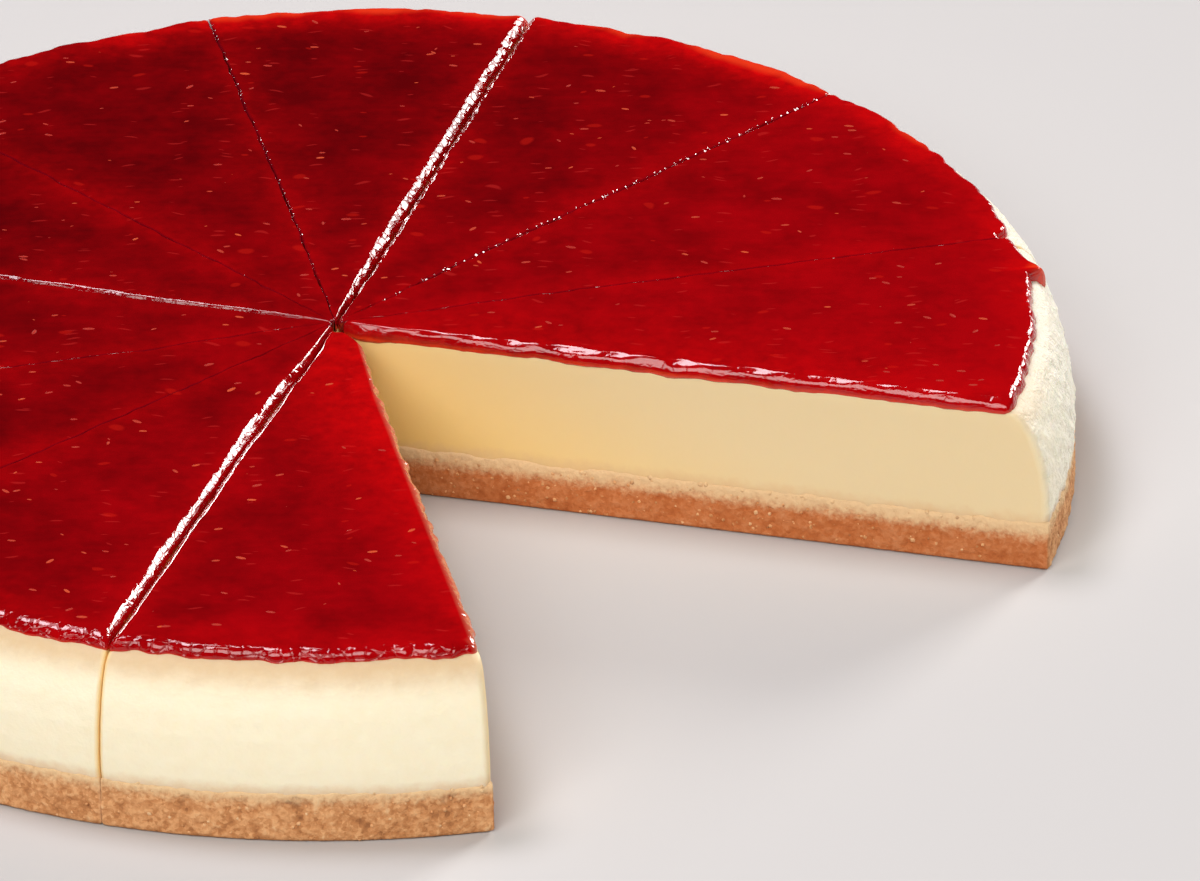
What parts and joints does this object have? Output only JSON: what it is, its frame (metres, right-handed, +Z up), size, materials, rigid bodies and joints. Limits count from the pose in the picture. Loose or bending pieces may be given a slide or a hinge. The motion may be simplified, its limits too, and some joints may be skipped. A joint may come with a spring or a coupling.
{
  "type": "raspberry cheesecake",
  "caption": "Round cheesecake cut into wedges, with a wide gap where slices were taken; each wedge has a biscuit base, a pale cheese filling and a glossy raspberry jelly top.",
  "frame": {"origin": "centre of the cake's round underside", "axes": "+Z up through the cake; the gap of the missing slices opens towards +X and -Y"},
  "size_m": [0.2596, 0.2595, 0.033],
  "materials": {
    "biscuit": "matte crumb",
    "cheese_filling": "satin",
    "raspberry_jelly": "wet gloss"
  },
  "bodies": {
    "root": {"biscuit_base_01": "biscuit", "biscuit_base_02": "biscuit", "biscuit_base_03": "biscuit", "biscuit_base_04": "biscuit", "biscuit_base_05": "biscuit", "biscuit_base_06": "biscuit", "biscuit_base_07": "biscuit", "biscuit_base_08": "biscuit", "biscuit_base_09": "biscuit", "biscuit_base_10": "biscuit", "cheese_filling_01": "cheese_filling", "cheese_filling_02": "cheese_filling", "cheese_filling_03": "cheese_filling", "cheese_filling_04": "cheese_filling", "cheese_filling_05": "cheese_filling", "cheese_filling_06": "cheese_filling", "cheese_filling_07": "cheese_filling", "cheese_filling_08": "cheese_filling", "cheese_filling_09": "cheese_filling", "cheese_filling_10": "cheese_filling", "raspberry_jelly_01": "raspberry_jelly", "raspberry_jelly_02": "raspberry_jelly", "raspberry_jelly_03": "raspberry_jelly", "raspberry_jelly_04": "raspberry_jelly", "raspberry_jelly_05": "raspberry_jelly", "raspberry_jelly_06": "raspberry_jelly", "raspberry_jelly_07": "raspberry_jelly", "raspberry_jelly_08": "raspberry_jelly", "raspberry_jelly_09": "raspberry_jelly", "raspberry_jelly_10": "raspberry_jelly"}
  },
  "joints": []
}
